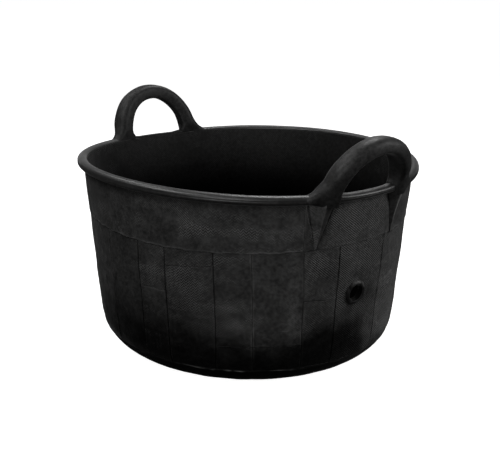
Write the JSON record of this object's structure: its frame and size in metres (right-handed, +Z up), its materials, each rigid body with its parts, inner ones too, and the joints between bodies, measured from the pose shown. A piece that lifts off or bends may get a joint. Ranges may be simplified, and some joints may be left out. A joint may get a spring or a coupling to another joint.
{
  "type": "mixing tub",
  "caption": "Round black rubber mortar mixing tub with flexible loop handles on a beaded rim, wedge gussets below them, ply panelled tapered wall and a drain hole.",
  "frame": {"origin": "middle of the flat underside, on the floor the tub stands on", "axes": "+Z up through the open mouth; +X from the middle towards the near handle, whose side of the wall has the drain hole; the other handle is at -X; +Y completes a right-handed frame"},
  "size_m": [0.5966, 0.4964, 0.361],
  "materials": {
    "inner_liner": "matt black with an impressed cord weave",
    "floor_disc": "matt black, faintly dusty",
    "base_cap": "matt black, faintly dusty",
    "wall_panel_01": "matt black with an impressed cord weave",
    "wall_panel_02": "matt black with an impressed cord weave",
    "wall_panel_03": "matt black with an impressed cord weave",
    "wall_panel_04": "matt black with an impressed cord weave",
    "wall_panel_05": "matt black with an impressed cord weave",
    "wall_panel_06": "matt black with an impressed cord weave",
    "wall_panel_07": "matt black with an impressed cord weave",
    "wall_panel_08": "matt black with an impressed cord weave",
    "wall_panel_09": "matt black with an impressed cord weave",
    "wall_panel_10": "matt black with an impressed cord weave",
    "wall_panel_11": "matt black with an impressed cord weave",
    "wall_panel_12": "matt black with an impressed cord weave",
    "wall_panel_13": "matt black with an impressed cord weave",
    "wall_panel_14": "matt black with an impressed cord weave",
    "wall_panel_15": "matt black with an impressed cord weave",
    "wall_panel_16": "matt black with an impressed cord weave",
    "wall_panel_17": "matt black with an impressed cord weave",
    "wall_panel_18": "matt black with an impressed cord weave",
    "wall_panel_19": "matt black with an impressed cord weave",
    "wall_panel_20": "matt black with an impressed cord weave",
    "wall_panel_21": "matt black with an impressed cord weave",
    "wall_panel_22": "matt black with an impressed cord weave",
    "wall_panel_23": "matt black with an impressed cord weave",
    "wall_panel_24": "matt black with an impressed cord weave",
    "wall_panel_25": "matt black with an impressed cord weave",
    "wall_panel_26": "matt black with an impressed cord weave",
    "wall_panel_27": "matt black with an impressed cord weave",
    "wall_panel_28": "matt black with an impressed cord weave",
    "upper_band_1": "matt black, faintly dusty",
    "upper_band_2": "matt black, faintly dusty",
    "upper_band_3": "matt black, faintly dusty",
    "upper_band_4": "matt black, faintly dusty",
    "rim_bead": "matt black, faintly dusty",
    "rim_hoop": "dull drawn wire",
    "handle_foot_near_a": "matt black, faintly dusty",
    "handle_foot_near_b": "matt black, faintly dusty",
    "handle_foot_far_a": "matt black, faintly dusty",
    "handle_foot_far_b": "matt black, faintly dusty",
    "gusset_near_a": "matt black, faintly dusty",
    "gusset_near_b": "matt black, faintly dusty",
    "gusset_far_a": "matt black, faintly dusty",
    "gusset_far_b": "matt black, faintly dusty",
    "drain_eyelet": "matt black, faintly dusty",
    "handle_loop_near": "matt black, faintly dusty",
    "handle_core_near": "twisted cord",
    "handle_loop_far": "matt black, faintly dusty",
    "handle_core_far": "twisted cord"
  },
  "bodies": {
    "tub": {"inner_liner": "inner_liner", "floor_disc": "floor_disc", "base_cap": "base_cap", "wall_panel_01": "wall_panel_01", "wall_panel_02": "wall_panel_02", "wall_panel_03": "wall_panel_03", "wall_panel_04": "wall_panel_04", "wall_panel_05": "wall_panel_05", "wall_panel_06": "wall_panel_06", "wall_panel_07": "wall_panel_07", "wall_panel_08": "wall_panel_08", "wall_panel_09": "wall_panel_09", "wall_panel_10": "wall_panel_10", "wall_panel_11": "wall_panel_11", "wall_panel_12": "wall_panel_12", "wall_panel_13": "wall_panel_13", "wall_panel_14": "wall_panel_14", "wall_panel_15": "wall_panel_15", "wall_panel_16": "wall_panel_16", "wall_panel_17": "wall_panel_17", "wall_panel_18": "wall_panel_18", "wall_panel_19": "wall_panel_19", "wall_panel_20": "wall_panel_20", "wall_panel_21": "wall_panel_21", "wall_panel_22": "wall_panel_22", "wall_panel_23": "wall_panel_23", "wall_panel_24": "wall_panel_24", "wall_panel_25": "wall_panel_25", "wall_panel_26": "wall_panel_26", "wall_panel_27": "wall_panel_27", "wall_panel_28": "wall_panel_28", "upper_band_1": "upper_band_1", "upper_band_2": "upper_band_2", "upper_band_3": "upper_band_3", "upper_band_4": "upper_band_4", "rim_bead": "rim_bead", "rim_hoop": "rim_hoop", "handle_foot_near_a": "handle_foot_near_a", "handle_foot_near_b": "handle_foot_near_b", "handle_foot_far_a": "handle_foot_far_a", "handle_foot_far_b": "handle_foot_far_b", "gusset_near_a": "gusset_near_a", "gusset_near_b": "gusset_near_b", "gusset_far_a": "gusset_far_a", "gusset_far_b": "gusset_far_b", "drain_eyelet": "drain_eyelet"},
    "near_handle": {"handle_loop_near": "handle_loop_near", "handle_core_near": "handle_core_near"},
    "far_handle": {"handle_loop_far": "handle_loop_far", "handle_core_far": "handle_core_far"}
  },
  "joints": [
    {"name": "near_handle_flex", "type": "hinge", "parent": "tub", "child": "near_handle", "pos_m": [0.26134, 0, 0.29951], "axis": [0, 1, 0], "range_deg": [-35, 35], "stiffness_Nm_per_rad": 20},
    {"name": "far_handle_flex", "type": "hinge", "parent": "tub", "child": "far_handle", "pos_m": [-0.26134, 0, 0.29951], "axis": [0, -1, 0], "range_deg": [-35, 35], "stiffness_Nm_per_rad": 20}
  ]
}
